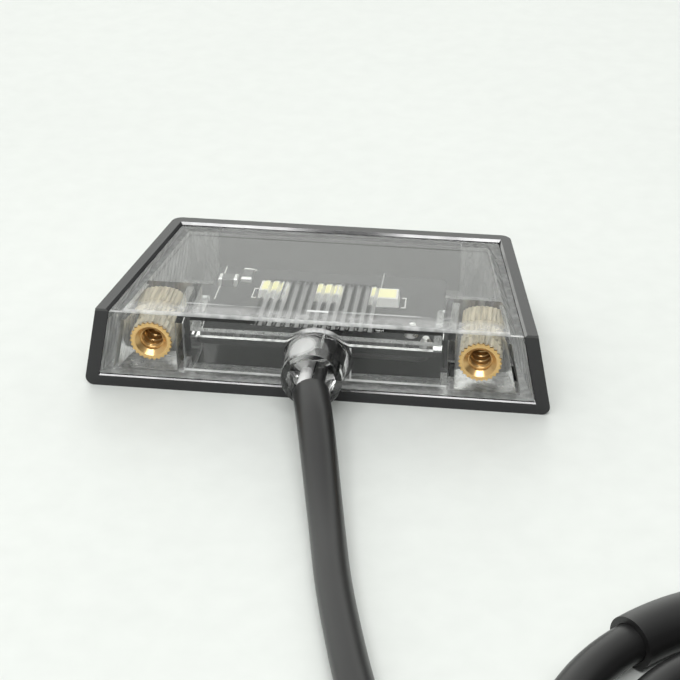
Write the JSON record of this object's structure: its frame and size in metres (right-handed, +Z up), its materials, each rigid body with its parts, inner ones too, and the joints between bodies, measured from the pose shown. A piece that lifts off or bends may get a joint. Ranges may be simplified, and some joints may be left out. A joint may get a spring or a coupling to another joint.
{
  "type": "number plate lamp",
  "caption": "Low trapezoid number plate lamp with a clear lens moulding in a black tray, threaded brass inserts in its front, a small light board inside and a black lead.",
  "frame": {"origin": "bottom centre of the lamp's own box, without the lead, on the surface that the cover's floor lies on", "axes": "+X along the lamp's long side, -Y towards the inserts and the lead, +Z up, the way that the light shines"},
  "size_m": [0.1309, 0.1415, 0.0123],
  "materials": {
    "cover_black": "satin black moulding",
    "lens_clear": "clear moulded plastic",
    "sealant_clear": "clear sealant",
    "insert_brass": "turned brass",
    "board_black": "black solder mask",
    "led_pale": "pale moulded package",
    "phosphor_yellow": "yellow phosphor gel",
    "chip_dark": "dark chip package",
    "solder": "bright solder",
    "core_white": "white core insulation",
    "core_dark": "black core insulation",
    "cable_black": "soft black jacket",
    "sleeve_black": "shrunk black sleeve"
  },
  "bodies": {
    "root": {"cover": "cover_black", "lens": "lens_clear", "cable_seal": "sealant_clear", "insert_left": "insert_brass", "insert_right": "insert_brass", "circuit_board": "board_black", "led_left": "led_pale", "led_middle": "led_pale", "led_right": "led_pale", "phosphor_left": "phosphor_yellow", "phosphor_middle": "phosphor_yellow", "phosphor_right": "phosphor_yellow", "resistor": "chip_dark", "diode": "chip_dark", "solder_white": "solder", "solder_dark": "solder", "core_white": "core_white", "core_dark": "core_dark", "cable": "cable_black", "cable_sleeve": "sleeve_black", "lead_end_white": "core_white", "lead_end_dark": "core_dark", "lead_tip_white": "solder", "lead_tip_dark": "solder"}
  },
  "joints": []
}
